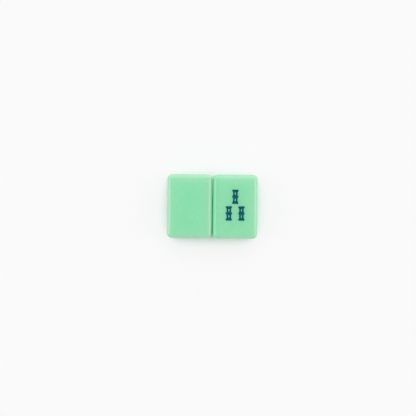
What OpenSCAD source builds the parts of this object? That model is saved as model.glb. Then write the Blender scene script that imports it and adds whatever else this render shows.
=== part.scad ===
// Two loose mahjong tiles that lie side by side on a table.
// The left tile lies face down and shows its plain back. The right tile lies face up.
// Each tile is one block of mint plastic. Its face is engraved with three bamboo sticks, and
// each engraved pocket holds its own fill of hardened teal paint, a little below the face.
// The origin is on the table in the middle of the pair: +X points to the right tile, +Y to
// the top of the faces and +Z up.

/* [Tile block] */
// Width of a tile, across its face
tile_width = 22.2; // [18:0.1:30]
// Length of a tile, from the bottom to the top of its face
tile_length = 31.6; // [25:0.1:42]
// Thickness of a tile, from its back to its face
tile_thickness = 12.7; // [8:0.1:22]
// Radius of the four upright corners, seen from above
corner_radius = 2.4; // [1:0.1:4]
// Radius of the rounding along the edges of the face and of the back
edge_radius = 2; // [0.5:0.1:3.5]

/* [Pair] */
// Space between the two tiles
tile_gap = 0.3; // [0.1:0.1:12]

/* [Bamboo stick] */
// Height of one bamboo stick
stick_height = 7.1; // [5.8:0.1:8.5]
// Width of a stick across one of its three knuckles
knuckle_width = 3.2; // [2.4:0.1:4]
// Height of a knuckle
knuckle_height = 1; // [0.5:0.05:1.4]
// Width of the cane at its two ends, which lie inside the knuckles
cane_width = 2.8; // [1.7:0.1:3]
// How far each side of the cane is drawn in halfway between two knuckles
waist_depth = 0.3; // [0.1:0.05:0.5]
// Width of the bare strip that is left standing inside the cane
strip_width = 0.5; // [0.2:0.05:0.8]
// Painted height between a bare strip and the knuckles above and below it
strip_margin = 0.4; // [0.2:0.05:0.6]

/* [Layout of the face] */
// Distance between the middles of the two lower sticks
pair_pitch = 6.2; // [4.5:0.1:9]
// Space between the upper stick and the row of lower sticks
row_gap = 1.1; // [0.5:0.1:3]
// Height of the motif's middle above the middle of the face
motif_lift = 0.7; // [-2:0.1:2]

/* [Engraving] */
// Depth of the engraved pockets below the face
pocket_depth = 0.8; // [0.5:0.05:1.5]
// Thickness of the paint on the floor of a pocket
paint_thickness = 0.3; // [0.1:0.05:0.5]

/* [Hidden] */

$fn = 96;
mint = "#8DDEAE";
teal = "#026269";

// How far a cutting shape runs past the surface that it cuts
overrun = 0.5;

// The rounding of the face and back can't be wider than the upright corners that it goes round
rim_radius = min(edge_radius, corner_radius);
// Distance of each tile's middle from the middle of the pair
tile_offset = (tile_width + tile_gap) / 2;

// A stick has three knuckles, with a length of cane between each two
knuckle_pitch = (stick_height - knuckle_height) / 2;
strip_height = knuckle_pitch - knuckle_height - 2 * strip_margin;
// Radius of the arc that draws in the side of a cane: its chord runs between two knuckles
waist_radius = (pow(knuckle_pitch / 2, 2) + pow(waist_depth, 2)) / (2 * waist_depth);

row_pitch = stick_height + row_gap;
top_stick = [0, motif_lift + row_pitch / 2];
left_stick = [-pair_pitch / 2, motif_lift - row_pitch / 2];
right_stick = [pair_pitch / 2, motif_lift - row_pitch / 2];

// What a rounding of radius r takes off a square corner at the origin, which lies in -X -Y of it
module corner_waste(r) {
    translate([-r, -r])
        difference() {
            square(r + overrun);
            circle(r);
        }
}

// Half of a tile's upright section: from its middle out to its side, with both rims rounded
module half_section(reach) {
    difference() {
        square([reach, tile_thickness]);
        translate([reach, tile_thickness]) corner_waste(rim_radius);
        translate([reach, 0]) mirror([0, 1]) corner_waste(rim_radius);
    }
}

// Full upright section of a tile whose side-to-side size is across
module full_section(across) {
    half_section(across / 2);
    mirror([1, 0]) half_section(across / 2);
}

// The plain tile: two crossed bars with rounded rims, and a quarter-turn post in each corner
module blank() {
    straight_x = tile_width - 2 * corner_radius;
    straight_y = tile_length - 2 * corner_radius;
    translate([0, straight_y / 2, 0])
        rotate([90, 0, 0])
            linear_extrude(straight_y) full_section(tile_width);
    translate([-straight_x / 2, 0, 0])
        rotate([90, 0, 90])
            linear_extrude(straight_x) full_section(tile_length);
    for (side = [0, 1], end = [0, 1])
        mirror([side, 0, 0]) mirror([0, end, 0])
            translate([straight_x / 2, straight_y / 2, 0])
                rotate_extrude(angle = 90) half_section(corner_radius);
}

// Outline of a knuckle: a bar with round ends
module knuckle() {
    bar = knuckle_width - knuckle_height;
    square([bar, knuckle_height], center = true);
    for (end = [-1, 1])
        translate([end * bar / 2, 0]) circle(d = knuckle_height);
}

// Outline of the cane between two knuckles: drawn in on both sides, with a bare strip inside
module cane() {
    strip = strip_height - strip_width;
    difference() {
        square([cane_width, knuckle_pitch], center = true);
        for (side = [-1, 1])
            translate([side * (cane_width / 2 - waist_depth + waist_radius), 0])
                circle(waist_radius);
        square([strip_width, strip], center = true);
        for (end = [-1, 1])
            translate([0, end * strip / 2]) circle(d = strip_width);
    }
}

// Outline of one whole stick
module stick() {
    for (level = [-1, 0, 1])
        translate([0, level * knuckle_pitch]) knuckle();
    for (level = [-1, 1])
        translate([0, level * knuckle_pitch / 2]) cane();
}

// One tile's block, with its back on the table and its middle over the origin
module block() {
    color(mint)
        difference() {
            blank();
            for (place = [top_stick, left_stick, right_stick])
                translate([place.x, place.y, tile_thickness - pocket_depth])
                    linear_extrude(pocket_depth + overrun) stick();
        }
}

// The paint in one engraved stick, on the floor of its pocket
module bamboo_paint(place) {
    color(teal)
        translate([place.x, place.y, tile_thickness - pocket_depth])
            linear_extrude(paint_thickness) stick();
}

// Puts a tile's piece in the right tile, which lies on its back
module face_up() {
    translate([tile_offset, 0, 0]) children();
}

// Puts a tile's piece in the left tile, which is turned over about its long axis
module face_down() {
    translate([-tile_offset, 0, tile_thickness]) rotate([0, 180, 0]) children();
}

face_down() block();  // face_down_block
face_down() bamboo_paint(top_stick);  // face_down_top_bamboo_paint
face_down() bamboo_paint(left_stick);  // face_down_left_bamboo_paint
face_down() bamboo_paint(right_stick);  // face_down_right_bamboo_paint
face_up() block();  // face_up_block
face_up() bamboo_paint(top_stick);  // face_up_top_bamboo_paint
face_up() bamboo_paint(left_stick);  // face_up_left_bamboo_paint
face_up() bamboo_paint(right_stick);  // face_up_right_bamboo_paint
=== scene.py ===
# Looks of two loose mint mahjong tiles on a white table, seen from straight above.
# The left tile lies face down. The right tile lies face up and shows three engraved, painted sticks.
import math

import bmesh
import bpy
from mathutils import Matrix, Vector


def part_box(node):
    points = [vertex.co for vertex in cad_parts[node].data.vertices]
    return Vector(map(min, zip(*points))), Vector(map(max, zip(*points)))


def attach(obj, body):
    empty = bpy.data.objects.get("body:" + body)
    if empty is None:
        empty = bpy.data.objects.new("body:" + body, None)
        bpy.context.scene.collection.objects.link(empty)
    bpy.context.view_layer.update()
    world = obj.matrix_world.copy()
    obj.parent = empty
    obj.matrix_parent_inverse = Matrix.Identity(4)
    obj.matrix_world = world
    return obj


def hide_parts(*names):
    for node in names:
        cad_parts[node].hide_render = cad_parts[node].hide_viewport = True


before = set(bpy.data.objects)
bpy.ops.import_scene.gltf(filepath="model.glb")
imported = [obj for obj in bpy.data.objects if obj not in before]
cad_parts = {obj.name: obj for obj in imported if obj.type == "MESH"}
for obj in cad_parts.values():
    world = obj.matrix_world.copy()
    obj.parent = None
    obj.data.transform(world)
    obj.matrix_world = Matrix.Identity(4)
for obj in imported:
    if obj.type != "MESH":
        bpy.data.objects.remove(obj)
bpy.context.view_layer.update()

# Pieces are modelled in millimetres, and their meshes are turned to metres when they are placed
MM = 0.001

# The block, in millimetres: its size comes from its part in model.glb
BLOCK_LOW, BLOCK_HIGH = (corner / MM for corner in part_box("face_up_block"))
WIDTH, LENGTH, THICKNESS = BLOCK_HIGH - BLOCK_LOW
CORNER_RADIUS = 2.4
EDGE_RADIUS = 2.0
CORNER_STEPS = 14
EDGE_STEPS = 12
# Each flat side has a narrow band along its border, so that its shading stays apart from the rounding's
FLAT_SIDES = 6
FLAT_BAND = 0.15

# One painted stick, in millimetres: its size and place come from its part in model.glb
STICKS = ("top", "left", "right")
PAINT_LOW, PAINT_HIGH = (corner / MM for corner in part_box("face_up_top_bamboo_paint"))
KNUCKLE_WIDTH, STICK_HEIGHT, PAINT_THICKNESS = PAINT_HIGH - PAINT_LOW
KNUCKLE_HEIGHT = 1.0
CANE_WIDTH = 2.8
WAIST_DEPTH = 0.3
STRIP_WIDTH = 0.5
STRIP_MARGIN = 0.4
KNUCKLE_PITCH = (STICK_HEIGHT - KNUCKLE_HEIGHT) / 2
ARC_STEPS = 10
WAIST_STEPS = 6

# The engraving, in millimetres: a flat band and a soft rim run round each pocket, and its walls lean in
POCKET_DEPTH = BLOCK_HIGH.z - PAINT_LOW.z
POCKET_BAND = 0.03
POCKET_ROUND = 0.08
POCKET_DRAFT = 0.03
ROUND_STEPS = 3
# The paint climbs the wall to this far below the face, and is dished from there over this width
PAINT_RIM = 0.1
PAINT_DISH = 0.33
# The angle at which the arc of the dish starts, where 0 would have it leave the wall upright
PAINT_LEAN = math.radians(20)
DISH_STEPS = 6

# The photograph, in its own pixels, and how far the pair is turned in it
PICTURE_SIDE = 416
TILE_LENGTH_PIXELS = 63.9
PAIR_CENTRE_PIXELS = Vector((212.35, 206.35))
PAIR_TURN = math.radians(0.6)
# The camera, in millimetres
LENS = 85
SENSOR = 36

# The table's white, and how far it reaches from the pair, in millimetres
WHITE = 0.956
FLOOR_REACH = 3000
# The table's openness is the share of the sky that it sees past what stands within so many millimetres
OPEN_REACH = 50
# The share of its white that the table shows even in shadow, and the openness at which that sets in
FLOOR_GLOW = 0.76
FLOOR_OPEN = (0.48, 0.7)
# Painted light on the floor in the gap between the tiles, which glows there for the light that the
# plastic lets through: near, in the middle and far. The near colour is dark, a painted shade in the notch
# at that end
GAP_NEAR = (0.11, 0.2, 0.11, 1)
GAP_MIDDLE = (0.012, 0.4, 0.125, 1)
GAP_FAR = (0.38, 0.85, 0.5, 1)
# Where one gives way to the next along the gap, and how far from its middle they end, in millimetres
GAP_NEAR_END = (-16, -10)
GAP_MIDDLE_END = (3, 15)
GAP_SIDE_END = (0.45, 0.12)
# The openness at which the gap's painted light fades out
GAP_OPEN = (0.2, 0.42)

# Strength of the sky, and how much more of it comes from past the far ends of the tiles
SKY_FILL = 0.76
SKY_LEAN = 0.4
# The sky that is seen darkens between these heights, where 1 is straight above, and by this share
OVERHEAD = (0.5, 0.9)
OVERHEAD_SHADE = 0.8
# Each lamp's share of the light on the table, its azimuth and zenith angle, and the angle that it fills
LAMPS = {
    "key": (0.12, 80, 32, 55),
    "right": (0.06, 0, 60, 30),
    "left": (0.06, 180, 60, 30),
}

# Colours of the plastic and the paint
MINT_DEEP = (0.261, 0.773, 0.443, 1)
MINT_MILKY = (0.281, 0.793, 0.463, 1)
# A paler mint, painted along the edges as a painted highlight for light through the translucent plastic
# and reflections on the rounding
MINT_EDGE_HIGHLIGHT = (0.55, 0.7, 0.54, 1)
TEAL_DARK = (0, 0.115, 0.137, 1)
TEAL_LIGHT = (0, 0.148, 0.17, 1)

# The plastic, with its lengths in millimetres. It is partly milky, and light spreads this far in it
PLASTIC_IOR = 1.6
MILK_SHARE = 0.5
MILK_DEPTH = 6
CLOUD_SIZE = 7
# How much the painted edge highlight pales the mint, and how far in
EDGE_HIGHLIGHT_SHARE = 0.54
EDGE_HIGHLIGHT_REACH = 2.6
# Painted shade from the neighbouring tile: the painted edge highlight is weaker by this share along the
# face-up tile's left side, between these places right of the pair's middle
SHADED_SIDE_SHARE = 0.8
SHADED_SIDE_START = (-0.1, 0.1)
SHADED_SIDE_END = (3, 5)
# How many times faster the painted edge highlight fades down the sides than across the face and back
SIDE_FADE = 2.5
# The face and back are shaded as if they dropped by this much at their outline, mostly within this reach
SHOULDER_DROP = 0.4
SHOULDER_REACH = 2.5
# Slow ripples and fine grain of the polish, and the smears that make it rougher in places
RIPPLE_SIZE = 2.5
RIPPLE_HEIGHT = 0.004
GRAIN_SIZE = 0.25
GRAIN_HEIGHT = 0.0006
SMEAR_SIZE = 1.5
MINT_ROUGHNESS = 0.16
SMEAR_ROUGHNESS = 0.1
# Length, breadth and height of a scratch, the noise levels that make one, and its directions in degrees
SCRATCH_SIZE = (6, 0.08, 1)
SCRATCH_LEVELS = (0.68, 0.78)
SCRATCH_TURNS = (25, 68, 112, 155)
SCRATCH_DEPTH = 0.0006
SCRATCH_ROUGHNESS = 0.12
# Size of the patches that hold the scratches, and the noise levels between which a patch starts
PATCH_SIZE = 5
PATCH_LEVELS = (0.4, 0.6)
# How far down the rounding, from the flat face or back, the scratches fade out
SCRATCH_FADE = 0.3

# The paint, in millimetres: its hollows, its fine grain, and the smears that make it rougher in places
HOLLOW_SIZE = 0.8
HOLLOW_HEIGHT = 0.03
PAINT_GRAIN_SIZE = 0.12
PAINT_GRAIN_HEIGHT = 0.003
PAINT_SMEAR_SIZE = 0.5
PAINT_ROUGHNESS = 0.32
PAINT_SMEAR_ROUGHNESS = 0.16
PAINT_IOR = 1.4
PAINT_GLOSS = 0.1


def sweep(start, end, steps):
    """The angles where each of several equal steps from start to end begins and ends."""
    angles = [start + (end - start) * step / steps for step in range(steps + 1)]
    return zip(angles, angles[1:])


def arc(bm, start, centre, degrees, steps):
    """Sweeps a point round a centre, counterclockwise if degrees is above zero, and returns its end."""
    swept = bmesh.ops.spin(
        bm, geom=[start], cent=centre, axis=(0, 0, 1), angle=math.radians(degrees), steps=steps
    )
    return swept["geom_last"][0]


def stick_middle(stick, depth):
    """The middle of a stick, this deep below the face, in the tile's own millimetres."""
    low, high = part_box(f"face_up_{stick}_bamboo_paint")
    aside = (low + high) / (2 * MM) - (BLOCK_LOW + BLOCK_HIGH) / 2
    return Vector((aside.x, aside.y, THICKNESS - depth))


def stick_side(bm, middle, side, grow):
    """One long side of a stick, from its bottom edge to its top edge, as a chain of arcs.

    Levels count knuckles up from the middle one.
    """
    end_radius = KNUCKLE_HEIGHT / 2 + grow
    end_reach = (KNUCKLE_WIDTH - KNUCKLE_HEIGHT) / 2
    waist_radius = ((KNUCKLE_PITCH / 2) ** 2 + WAIST_DEPTH**2) / (2 * WAIST_DEPTH)
    waist_reach = CANE_WIDTH / 2 - WAIST_DEPTH + waist_radius
    waist_radius -= grow
    # Where the arc of a knuckle's end meets the arc of the waist above it
    away = Vector((waist_reach - end_reach, KNUCKLE_PITCH / 2))
    cosine = (end_radius**2 + away.length_squared - waist_radius**2) / (2 * end_radius * away.length)
    end_turn = math.degrees(math.atan2(away.y, away.x) + math.acos(cosine))
    rise = KNUCKLE_PITCH / 2 - end_radius * math.sin(math.radians(end_turn))
    waist_turn = 2 * math.degrees(math.asin(rise / waist_radius))

    def knuckle_end(point, level, degrees):
        centre = middle + Vector((side * end_reach, level * KNUCKLE_PITCH, 0))
        return arc(bm, point, centre, side * degrees, ARC_STEPS)

    def waist(point, level):
        centre = middle + Vector((side * waist_reach, level * KNUCKLE_PITCH, 0))
        return arc(bm, point, centre, -side * waist_turn, WAIST_STEPS)

    foot = middle + Vector((side * end_reach, -KNUCKLE_PITCH - end_radius, 0))
    first = bm.verts.new(foot)
    point = knuckle_end(first, -1, 90 + end_turn)
    point = waist(point, -0.5)
    point = knuckle_end(point, 0, 2 * end_turn)
    point = waist(point, 0.5)
    return first, knuckle_end(point, 1, 90 + end_turn)


def strip(bm, middle, level, grow):
    """The outline of a bare strip in the cane, which shrinks where the stick grows."""
    radius = STRIP_WIDTH / 2 - grow
    half = (KNUCKLE_PITCH - KNUCKLE_HEIGHT - 2 * STRIP_MARGIN - STRIP_WIDTH) / 2
    centre = middle + Vector((0, level * KNUCKLE_PITCH, 0))
    first = bm.verts.new(centre + Vector((radius, half, 0)))
    upper = arc(bm, first, centre + Vector((0, half, 0)), 180, ARC_STEPS)
    lower = bm.verts.new(centre + Vector((-radius, -half, 0)))
    bm.edges.new((upper, lower))
    last = arc(bm, lower, centre - Vector((0, half, 0)), 180, ARC_STEPS)
    bm.edges.new((last, first))


def stick_outline(bm, middle, grow):
    """Draws a whole stick, grown outwards, and returns its edges."""
    before = set(bm.edges)
    right_foot, right_head = stick_side(bm, middle, 1, grow)
    left_foot, left_head = stick_side(bm, middle, -1, grow)
    bm.edges.new((right_foot, left_foot))
    bm.edges.new((right_head, left_head))
    for level in (-0.5, 0.5):
        strip(bm, middle, level, grow)
    return [edge for edge in bm.edges if edge not in before]


def filled(bm, edges):
    """Fills the space between the outlines and returns the new faces."""
    made = bmesh.ops.triangle_fill(bm, edges=edges, use_beauty=True, normal=(0, 0, 1))
    return [item for item in made["geom"] if isinstance(item, bmesh.types.BMFace)]


def sink(bm, faces, inward, upward):
    """Narrows a region of faces and moves it up or down."""
    bmesh.ops.inset_region(bm, faces=faces, thickness=inward, depth=upward, use_even_offset=True)


def rounded(bm, edges, radius, steps):
    """Rounds the edges with a true arc."""
    bmesh.ops.bevel(
        bm, geom=edges, offset=radius, segments=steps, profile=0.5, affect="EDGES", material=-1
    )


def plain_block(bm):
    """The block before it is engraved, with its back on the table. Returns its face."""
    place = Matrix.Translation((0, 0, THICKNESS / 2))
    size = Matrix.Diagonal((WIDTH, LENGTH, THICKNESS, 1))
    bmesh.ops.create_cube(bm, size=1, matrix=place @ size)
    upright = [edge for edge in bm.edges if edge.verts[0].co.xy == edge.verts[1].co.xy]
    rounded(bm, upright, CORNER_RADIUS, CORNER_STEPS)
    level = [edge for edge in bm.edges if edge.verts[0].co.z == edge.verts[1].co.z]
    rounded(bm, level, EDGE_RADIUS, EDGE_STEPS)
    flats = sorted(bm.faces, key=lambda face: face.calc_area())[-FLAT_SIDES:]
    bmesh.ops.inset_individual(bm, faces=flats, thickness=FLAT_BAND, use_even_offset=True)
    return max(flats, key=lambda face: face.calc_center_median().z)


def pocket(bm, outline):
    """Sinks one pocket inside its outline, with a soft rim and leaning walls."""
    bottom = filled(bm, outline)
    sink(bm, bottom, POCKET_BAND, 0)
    for turn, next_turn in sweep(0, math.pi / 2, ROUND_STEPS):
        inward = POCKET_ROUND * (math.sin(next_turn) - math.sin(turn))
        upward = POCKET_ROUND * (math.cos(next_turn) - math.cos(turn))
        sink(bm, bottom, inward, upward)
    sink(bm, bottom, POCKET_DRAFT, POCKET_ROUND - POCKET_DEPTH)


def block():
    """The mesh of one tile's block, with the pockets of its three sticks."""
    bm = bmesh.new()
    face = plain_block(bm)
    border = list(face.edges)
    bmesh.ops.delete(bm, geom=[face], context="FACES_ONLY")
    grow = POCKET_ROUND + POCKET_BAND
    outlines = [stick_outline(bm, stick_middle(stick, 0), grow) for stick in STICKS]
    filled(bm, border + [edge for outline in outlines for edge in outline])
    for outline in outlines:
        pocket(bm, outline)
    return bm


def paint(stick):
    """The mesh of one paint fill, which climbs the wall of its pocket and is dished in the middle."""
    bm = bmesh.new()
    top = filled(bm, stick_outline(bm, stick_middle(stick, POCKET_DEPTH), 0))
    height = POCKET_DEPTH - PAINT_RIM
    bmesh.ops.translate(bm, verts=bm.verts, vec=(0, 0, height))
    around = [edge for edge in bm.edges if edge.is_boundary]
    walls = bmesh.ops.extrude_edge_only(bm, edges=around)["geom"]
    lower = [item for item in walls if isinstance(item, bmesh.types.BMVert)]
    bmesh.ops.translate(bm, verts=lower, vec=(0, 0, -height))
    filled(bm, [item for item in walls if isinstance(item, bmesh.types.BMEdge) and item.is_boundary])
    reach = PAINT_DISH / math.cos(PAINT_LEAN)
    drop = (height - PAINT_THICKNESS) / (1 - math.sin(PAINT_LEAN))
    for turn, next_turn in sweep(PAINT_LEAN, math.pi / 2, DISH_STEPS):
        inward = reach * (math.cos(turn) - math.cos(next_turn))
        upward = drop * (math.sin(turn) - math.sin(next_turn))
        sink(bm, top, inward, upward)
    return bm


def finish_piece(bm, name, place, body, node, material):
    """Turns a mesh in a tile's own millimetres into a piece that stands for its CAD node."""
    bmesh.ops.transform(bm, matrix=place @ Matrix.Scale(MM, 4), verts=bm.verts)
    bmesh.ops.recalc_face_normals(bm, faces=bm.faces)
    for face in bm.faces:
        face.smooth = True
    mesh = bpy.data.meshes.new(name)
    bm.to_mesh(mesh)
    bm.free()
    mesh.materials.append(material)
    piece = bpy.data.objects.new(name, mesh)
    bpy.context.scene.collection.objects.link(piece)
    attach(piece, body)
    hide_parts(node)


class Value:
    """A number, colour or place in a material. Arithmetic on numbers adds the Math nodes for it."""

    def __init__(self, recipe, socket):
        self.recipe = recipe
        self.socket = socket

    def __add__(self, other):
        return self.recipe.math("ADD", self, other)

    def __sub__(self, other):
        return self.recipe.math("SUBTRACT", self, other)

    def __rsub__(self, other):
        return self.recipe.math("SUBTRACT", other, self)

    def __mul__(self, other):
        return self.recipe.math("MULTIPLY", self, other)

    def __abs__(self):
        return self.recipe.math("ABSOLUTE", self)

    __radd__ = __add__
    __rmul__ = __mul__


class Recipe:
    """The nodes of one material, or of the sky."""

    def __init__(self, owner):
        owner.use_nodes = True
        self.owner = owner
        self.nodes = owner.node_tree.nodes
        self.links = owner.node_tree.links
        self.nodes.clear()

    def add(self, kind, settings=None, inputs=None, output=0):
        """Adds a node, sets it up and fills its sockets with numbers or other nodes' values."""
        node = self.nodes.new(kind)
        for name, setting in (settings or {}).items():
            setattr(node, name, setting)
        for key, value in (inputs or {}).items():
            if isinstance(value, Value):
                self.links.new(value.socket, node.inputs[key])
            else:
                node.inputs[key].default_value = value
        return Value(self, node.outputs[output])

    def math(self, operation, *numbers):
        """What a Math node makes of the numbers."""
        return self.add("ShaderNodeMath", {"operation": operation}, dict(enumerate(numbers)))

    def finish(self, kind, shader):
        """Sends the shader to an output node, and returns the finished material or sky."""
        output = self.nodes.new(kind)
        self.links.new(shader.socket, output.inputs["Surface"])
        return self.owner

    def place(self):
        """The place on the piece, in millimetres."""
        metres = self.add("ShaderNodeTexCoord", output="Object")
        scaled = {"Vector": metres, "Scale": 1 / MM}
        return self.add("ShaderNodeVectorMath", {"operation": "SCALE"}, scaled)

    def axes(self, place):
        """The three coordinates of a place."""
        parts = self.add("ShaderNodeSeparateXYZ", inputs={"Vector": place})
        return [Value(self, socket) for socket in parts.socket.node.outputs]

    def noise(self, place, size, detail=2.0):
        """Soft noise whose lumps are about size millimetres wide, from 0 to 1."""
        inputs = {"Vector": place, "Scale": 1 / size, "Detail": detail}
        return self.add("ShaderNodeTexNoise", inputs=inputs)

    def fade(self, value, start, end):
        """0 where the value is short of start, 1 where it is past end, and between them in between."""
        return self.add("ShaderNodeMapRange", inputs={"Value": value, "From Min": start, "From Max": end})

    def decay(self, distance, reach):
        """1 where the distance is 0, and about a third of that over each reach."""
        return self.math("EXPONENT", distance * (-1 / reach))

    def scratches(self, place, degrees):
        """Thin straight marks along one direction of the face: 1 on a mark and 0 beside it."""
        turned = {"Vector": place, "Rotation": (0, 0, math.radians(degrees)), "Scale": SCRATCH_SIZE}
        stretched = self.add("ShaderNodeMapping", {"vector_type": "TEXTURE"}, turned)
        return self.fade(self.noise(stretched, size=1, detail=0), *SCRATCH_LEVELS)

    def blend(self, share, first, second):
        """A colour that goes from first to second as share goes from 0 to 1."""
        # The Mix node repeats its names for each kind of data, so the sockets of a colour go by number
        return self.add("ShaderNodeMix", {"data_type": "RGBA"}, {0: share, 6: first, 7: second}, output=2)

    def cover(self, share, shader, coat):
        """The shader, with a share of it covered by the coat."""
        return self.add("ShaderNodeMixShader", inputs={0: share, 1: shader, 2: coat})

    def bump(self, height):
        """A normal for a height in millimetres."""
        return self.add("ShaderNodeBump", inputs={"Height": height, "Distance": MM})

    def surface(self, **inputs):
        """Finishes the material with a Principled shader. An underscore in a name stands for a space."""
        sockets = {name.replace("_", " "): value for name, value in inputs.items()}
        shader = self.add("ShaderNodeBsdfPrincipled", inputs=sockets)
        return self.finish("ShaderNodeOutputMaterial", shader)


def smaller(first, second):
    return first.recipe.math("MINIMUM", first, second)


def larger(first, second):
    return first.recipe.math("MAXIMUM", first, second)


def block_distances(recipe, place):
    """How far a place on a block is from its nearest long side, end, and face or back, in millimetres."""
    x, y, z = recipe.axes(place)
    across = WIDTH / 2 - abs(abs(x) - (BLOCK_LOW.x + BLOCK_HIGH.x) / 2)
    along = LENGTH / 2 - abs(y)
    upright = THICKNESS / 2 - abs(z - THICKNESS / 2)
    return across, along, upright


def mint_colour(recipe, place, across, along, upright):
    """Cloudy mint with a painted highlight that makes it paler towards the edges, but hardly along the
    left side of the face-up tile, where painted shade from the neighbouring tile holds it back.
    """
    clouds = recipe.noise(place, CLOUD_SIZE)
    mint = recipe.blend(clouds, MINT_DEEP, MINT_MILKY)
    edge = larger(smaller(across, along), smaller(larger(across, along), SIDE_FADE * upright))
    x = recipe.axes(place)[0]
    # Painted shade: the painted highlight is mostly left off along the face-up tile's side next to the
    # gap
    shaded_side = recipe.fade(x, *SHADED_SIDE_START) * (1 - recipe.fade(x, *SHADED_SIDE_END))
    # Painted highlight: the mint is painted paler towards the edges
    edge_highlight = EDGE_HIGHLIGHT_SHARE * recipe.decay(edge, EDGE_HIGHLIGHT_REACH) * (1 - SHADED_SIDE_SHARE * shaded_side)
    return recipe.blend(edge_highlight, mint, MINT_EDGE_HIGHLIGHT)


def wear(recipe, place, upright):
    """1 on a scratch and 0 beside it. The scratches lie in patches on the flat face and back."""
    scratches = recipe.scratches(place, SCRATCH_TURNS[0])
    for degrees in SCRATCH_TURNS[1:]:
        scratches = larger(scratches, recipe.scratches(place, degrees))
    patches = recipe.fade(recipe.noise(place, PATCH_SIZE), *PATCH_LEVELS)
    return scratches * patches * recipe.fade(upright, SCRATCH_FADE, 0)


def mint_plastic():
    """Polished, slightly milky mint plastic, faintly cloudy and lightly scratched, with a painted
    highlight that makes it paler at the edges.
    """
    recipe = Recipe(bpy.data.materials.new("mint_plastic"))
    place = recipe.place()
    across, along, upright = block_distances(recipe, place)
    worn = wear(recipe, place, upright)
    shoulder = recipe.decay(smaller(across, along), SHOULDER_REACH)
    ripple = recipe.noise(place, RIPPLE_SIZE, detail=0)
    grain = recipe.noise(place, GRAIN_SIZE)
    polish = RIPPLE_HEIGHT * ripple + GRAIN_HEIGHT * grain
    smears = recipe.noise(place, SMEAR_SIZE)
    return recipe.surface(
        Base_Color=mint_colour(recipe, place, across, along, upright),
        Roughness=MINT_ROUGHNESS + SMEAR_ROUGHNESS * smears + SCRATCH_ROUGHNESS * worn,
        IOR=PLASTIC_IOR,
        Subsurface_Weight=MILK_SHARE,
        Subsurface_Radius=(1, 1, 1),
        Subsurface_Scale=MILK_DEPTH * MM,
        Normal=recipe.bump(polish - SCRATCH_DEPTH * worn - SHOULDER_DROP * shoulder),
    )


def teal_paint():
    """Hardened teal paint: satin, a little uneven, and darker in its hollows."""
    recipe = Recipe(bpy.data.materials.new("teal_paint"))
    place = recipe.place()
    hollows = recipe.noise(place, HOLLOW_SIZE)
    grain = recipe.noise(place, PAINT_GRAIN_SIZE)
    smears = recipe.noise(place, PAINT_SMEAR_SIZE)
    return recipe.surface(
        Base_Color=recipe.blend(hollows, TEAL_DARK, TEAL_LIGHT),
        Roughness=PAINT_ROUGHNESS + PAINT_SMEAR_ROUGHNESS * smears,
        IOR=PAINT_IOR,
        Specular_IOR_Level=PAINT_GLOSS,
        Normal=recipe.bump(HOLLOW_HEIGHT * hollows + PAINT_GRAIN_HEIGHT * grain),
    )


def tile_place(side):
    """Where a tile's own frame goes. The face-down tile is turned over about its long axis."""
    low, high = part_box(f"{side}_block")
    middle = (low + high) / 2
    if side == "face_up":
        return Matrix.Translation((middle.x, middle.y, low.z))
    return Matrix.Translation((middle.x, middle.y, high.z)) @ Matrix.Rotation(math.pi, 4, "Y")


def tile(side, mint, teal):
    """All the pieces of one tile."""
    place = tile_place(side)
    body = f"{side}_tile"
    finish_piece(block(), f"{side}_tile_block", place, body, f"{side}_block", mint)
    for stick in STICKS:
        node = f"{side}_{stick}_bamboo_paint"
        finish_piece(paint(stick), f"{node}_fill", place, body, node, teal)


def camera():
    """A camera that looks straight down and has the pair where the photograph has it."""
    data = bpy.data.cameras.new("overhead_camera")
    data.lens = LENS
    data.sensor_width = SENSOR
    pixel = LENGTH * MM / TILE_LENGTH_PIXELS
    # The outline that the camera sees lies where the upper rounding starts
    widest = (THICKNESS - EDGE_RADIUS) * MM
    height = widest + PICTURE_SIDE * pixel * LENS / SENSOR
    aside = (PAIR_CENTRE_PIXELS - Vector((PICTURE_SIDE, PICTURE_SIDE)) / 2) * pixel
    turn = Matrix.Rotation(PAIR_TURN, 4, "Z")
    overhead = bpy.data.objects.new("overhead_camera", data)
    overhead.matrix_world = turn @ Matrix.Translation((-aside.x, aside.y, height))
    bpy.context.scene.collection.objects.link(overhead)
    bpy.context.scene.camera = overhead


def seen(recipe):
    """1 on what the camera sees, also by reflection or through glass, and 0 on what only gives light."""
    kinds = ("Camera", "Glossy", "Transmission")
    direct, glossy, clear = (recipe.add("ShaderNodeLightPath", output=f"Is {kind} Ray") for kind in kinds)
    return larger(larger(direct, glossy), clear)


def painted_gap_light(recipe, along):
    """Painted light for the floor at a place along the gap, standing for the light that the plastic lets
    through, and dark at the near end as painted shade.
    """
    colour = recipe.blend(recipe.fade(along, *GAP_MIDDLE_END), GAP_MIDDLE, GAP_FAR)
    colour = recipe.blend(recipe.fade(along, *GAP_NEAR_END), GAP_NEAR, colour)
    return recipe.add("ShaderNodeEmission", inputs={"Color": colour})


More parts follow.
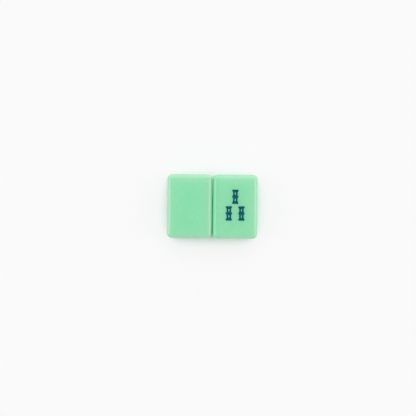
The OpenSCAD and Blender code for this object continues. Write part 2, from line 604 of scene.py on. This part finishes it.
def white_table():
    """White that shows a light shadow in the open, and painted light from the plastic in the narrow gap,
    with painted shade at its near end.
    """
    recipe = Recipe(bpy.data.materials.new("white_floor"))
    white = {"Color": (WHITE, WHITE, WHITE, 1)}
    reach = {"Distance": OPEN_REACH * MM}
    openness = recipe.add("ShaderNodeAmbientOcclusion", inputs=reach, output="AO")
    shown = seen(recipe)
    glow = FLOOR_GLOW * shown * recipe.fade(openness, *FLOOR_OPEN)
    lit = recipe.add("ShaderNodeBsdfDiffuse", inputs=white)
    shader = recipe.cover(glow, lit, recipe.add("ShaderNodeEmission", inputs=white))
    across, along = recipe.axes(recipe.place())[:2]
    # Painted light: in the narrow gap the floor glows as if lit through the plastic, with painted shade
    # at the near end
    gap = recipe.fade(abs(across), *GAP_SIDE_END) * shown * (1 - recipe.fade(openness, *GAP_OPEN))
    shader = recipe.cover(gap, shader, painted_gap_light(recipe, along))
    return recipe.finish("ShaderNodeOutputMaterial", shader)


def table():
    """A white table top, wide enough for every view."""
    bm = bmesh.new()
    bmesh.ops.create_grid(bm, x_segments=1, y_segments=1, size=FLOOR_REACH * MM)
    mesh = bpy.data.meshes.new("floor")
    bm.to_mesh(mesh)
    bm.free()
    mesh.materials.append(white_table())
    top = bpy.data.objects.new("floor", mesh)
    bpy.context.scene.collection.objects.link(top)


def sky():
    """The white sky that gives most of the light. Where it is seen it is darker round the camera."""
    recipe = Recipe(bpy.data.worlds.new("studio_sky"))
    direction = recipe.add("ShaderNodeTexCoord", output="Generated")
    along, upright = recipe.axes(direction)[1:]
    light = SKY_FILL * (1 + SKY_LEAN * along)
    look = 1 - OVERHEAD_SHADE * recipe.fade(upright, *OVERHEAD)
    strength = light + (look - light) * seen(recipe)
    background = recipe.add("ShaderNodeBackground", inputs={"Color": (1, 1, 1, 1), "Strength": strength})
    bpy.context.scene.world = recipe.finish("ShaderNodeOutputWorld", background)


def lamp(name, share, azimuth, zenith, spread):
    """A distant soft lamp. It stands over +X where azimuth is 0, and over +Y where it is 90."""
    data = bpy.data.lights.new(name, "SUN")
    data.angle = math.radians(spread)
    data.energy = share * math.pi / math.cos(math.radians(zenith))
    sun = bpy.data.objects.new(name, data)
    sun.rotation_euler = (0, math.radians(zenith), math.radians(azimuth))
    bpy.context.scene.collection.objects.link(sun)


camera()
table()
sky()
for name, values in LAMPS.items():
    lamp(name, *values)
mint, teal = mint_plastic(), teal_paint()
for side in ("face_down", "face_up"):
    tile(side, mint, teal)

bpy.context.scene.view_settings.view_transform = "Standard"
